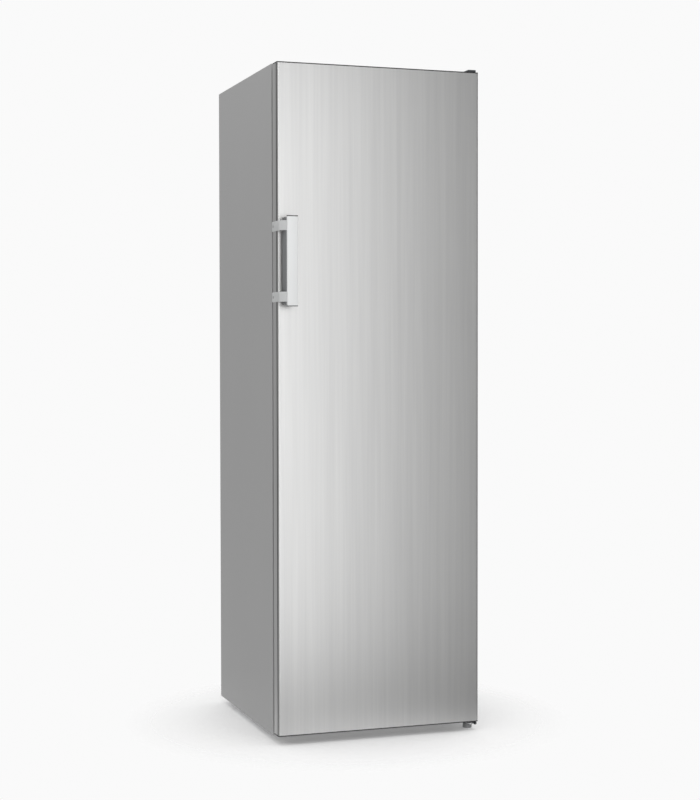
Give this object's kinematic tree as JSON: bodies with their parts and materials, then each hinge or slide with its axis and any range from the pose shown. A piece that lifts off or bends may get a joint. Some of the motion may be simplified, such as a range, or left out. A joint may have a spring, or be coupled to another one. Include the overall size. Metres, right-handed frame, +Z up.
{
  "type": "upright freezer",
  "caption": "Tall free-standing freezer with a steel door, a bar handle at its edge, and drawers and glass shelves behind it.",
  "frame": {"origin": "on the floor, under the middle of the overall box", "axes": "+X to the right seen from the front, +Y from the door to the back, +Z up"},
  "size_m": [0.5976, 0.675, 1.8846],
  "materials": {
    "stainless": "satin",
    "side_paint": "satin",
    "zinc": "satin",
    "grey_plastic": "satin",
    "dark_plastic": "satin",
    "mid_plastic": "satin",
    "white_plastic": "satin",
    "clear_plastic": "gloss",
    "lens": "satin",
    "seal": "matte",
    "foam": "matte",
    "bar": "satin",
    "fin_metal": "satin",
    "glass": "gloss",
    "black_paint": "satin",
    "rubber": "matte",
    "copper": "satin",
    "back_sheet": "satin"
  },
  "bodies": {
    "cabinet": {"hinge_bracket_top": "zinc", "hinge_bracket_bottom": "zinc", "hinge_screws": "zinc", "hinge_cover": "dark_plastic", "hinge_clip": "dark_plastic", "side_panel_left": "side_paint", "side_panel_right": "side_paint", "top_panel": "side_paint", "back_panel": "back_sheet", "front_rail_top": "side_paint", "front_rail_bottom": "side_paint", "underside_panel": "back_sheet", "cabinet_foam": "foam", "inner_liner": "white_plastic", "air_cover": "white_plastic", "fan_motor": "white_plastic", "evaporator": "fin_metal", "defrost_heater": "zinc", "drain_tube": "dark_plastic", "control_panel": "white_plastic", "lamp_lens": "lens", "base_plate": "zinc", "roller_axles": "zinc", "grommets": "rubber", "compressor": "black_paint", "relay_cover": "dark_plastic", "evaporation_tray": "dark_plastic", "pipework": "copper", "cord_gland": "dark_plastic", "shelf_1": "glass", "shelf_2": "glass", "shelf_3": "glass", "shelf_4": "glass", "shelf_5": "glass", "shelf_6": "glass"},
    "door": {"door_skin": "stainless", "door_cap_top": "dark_plastic", "door_cap_bottom": "dark_plastic", "door_bushes": "dark_plastic", "door_liner": "white_plastic", "door_foam": "foam", "door_seal": "seal", "handle_bar": "bar", "handle_core": "mid_plastic", "handle_brackets": "grey_plastic", "handle_screws": "zinc"},
    "foot_left": {"foot_left": "mid_plastic"},
    "foot_right": {"foot_right": "mid_plastic"},
    "roller_left": {"roller_left": "dark_plastic"},
    "roller_right": {"roller_right": "dark_plastic"},
    "fan": {"fan_rotor": "grey_plastic"},
    "button_power": {"button_power": "grey_plastic"},
    "button_boost": {"button_boost": "grey_plastic"},
    "drawer_1": {"drawer_1": "clear_plastic"},
    "drawer_2": {"drawer_2": "clear_plastic"},
    "drawer_3": {"drawer_3": "clear_plastic"},
    "drawer_4": {"drawer_4": "clear_plastic"},
    "drawer_5": {"drawer_5": "clear_plastic"},
    "drawer_6": {"drawer_6": "clear_plastic"},
    "drawer_7": {"drawer_7": "clear_plastic"}
  },
  "joints": [
    {"name": "door_hinge", "type": "hinge", "parent": "cabinet", "child": "door", "pos_m": [0.28275, -0.2725, 0.9492], "axis": [0, 0, 1], "range_deg": [0, 115]},
    {"name": "drawer_1_slide", "type": "slide", "parent": "cabinet", "child": "drawer_1", "axis": [0, -1, 0], "range_m": [0, 0.022]},
    {"name": "drawer_2_slide", "type": "slide", "parent": "cabinet", "child": "drawer_2", "axis": [0, -1, 0], "range_m": [0, 0.022]},
    {"name": "drawer_3_slide", "type": "slide", "parent": "cabinet", "child": "drawer_3", "axis": [0, -1, 0], "range_m": [0, 0.022]},
    {"name": "drawer_4_slide", "type": "slide", "parent": "cabinet", "child": "drawer_4", "axis": [0, -1, 0], "range_m": [0, 0.022]},
    {"name": "drawer_5_slide", "type": "slide", "parent": "cabinet", "child": "drawer_5", "axis": [0, -1, 0], "range_m": [0, 0.022]},
    {"name": "drawer_6_slide", "type": "slide", "parent": "cabinet", "child": "drawer_6", "axis": [0, -1, 0], "range_m": [0, 0.022]},
    {"name": "drawer_7_slide", "type": "slide", "parent": "cabinet", "child": "drawer_7", "axis": [0, -1, 0], "range_m": [0, 0.022]},
    {"name": "foot_left_screw", "type": "hinge", "parent": "cabinet", "child": "foot_left", "pos_m": [-0.25375, -0.1745, 0], "axis": [0, 0, 1], "continuous": true},
    {"name": "foot_right_screw", "type": "hinge", "parent": "cabinet", "child": "foot_right", "pos_m": [0.28425, -0.246, 0], "axis": [0, 0, 1], "continuous": true},
    {"name": "roller_left_turn", "type": "hinge", "parent": "cabinet", "child": "roller_left", "pos_m": [-0.26075, 0.2925, 0.018], "axis": [1, 0, 0], "continuous": true},
    {"name": "roller_right_turn", "type": "hinge", "parent": "cabinet", "child": "roller_right", "pos_m": [0.26325, 0.2925, 0.018], "axis": [1, 0, 0], "continuous": true},
    {"name": "fan_turn", "type": "hinge", "parent": "cabinet", "child": "fan", "pos_m": [0.00125, 0.216, 0.6985], "axis": [0, 1, 0], "continuous": true},
    {"name": "button_power_press", "type": "slide", "parent": "cabinet", "child": "button_power", "axis": [0, 1, 0], "range_m": [0, 0.001], "stiffness_N_per_m": 800},
    {"name": "button_boost_press", "type": "slide", "parent": "cabinet", "child": "button_boost", "axis": [0, 1, 0], "range_m": [0, 0.001], "stiffness_N_per_m": 800}
  ]
}
